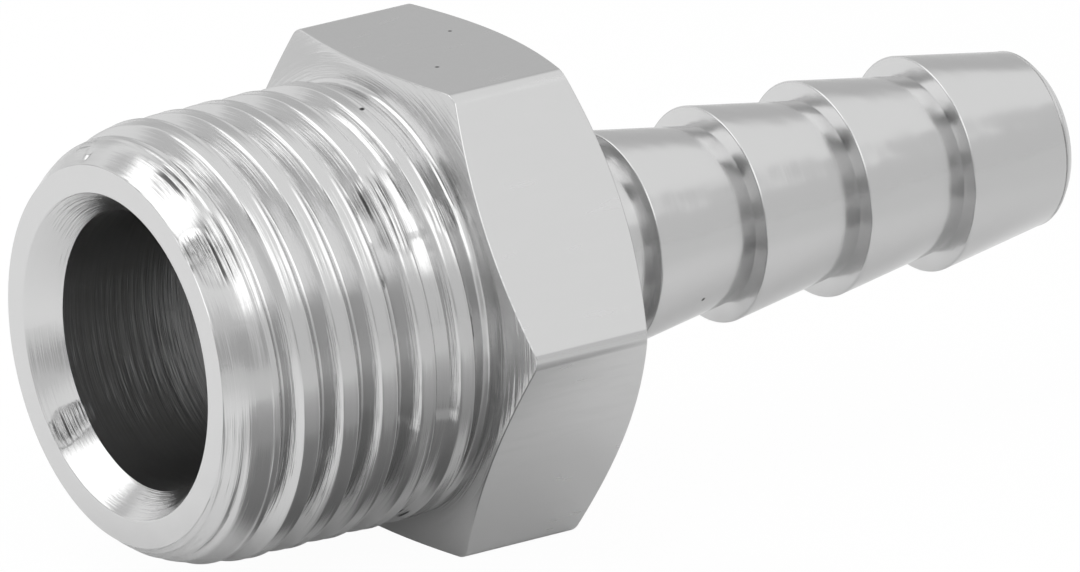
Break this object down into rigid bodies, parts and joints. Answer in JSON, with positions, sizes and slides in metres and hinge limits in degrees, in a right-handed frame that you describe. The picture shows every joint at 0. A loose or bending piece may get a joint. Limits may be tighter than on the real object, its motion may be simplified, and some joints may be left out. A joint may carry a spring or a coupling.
{
  "type": "hose barb tail",
  "caption": "Straight hose adapter turned in one piece: male pipe thread with a countersunk bore, spanner hexagon, and a tail of saw-tooth barbs that grips a push-on hose.",
  "frame": {"origin": "on the fitting's axis, in the shoulder plane where the threaded shank meets the hexagon", "axes": "+X along the axis from the thread end to the hose end; +Z is the outward normal of the upper flat of the hexagon, and the opposite flat lies on the surface"},
  "size_m": [0.032, 0.016, 0.014],
  "materials": {
    "nickel_plated_brass": "satin"
  },
  "bodies": {
    "root": {"hose_barb_tail": "nickel_plated_brass"}
  },
  "joints": []
}
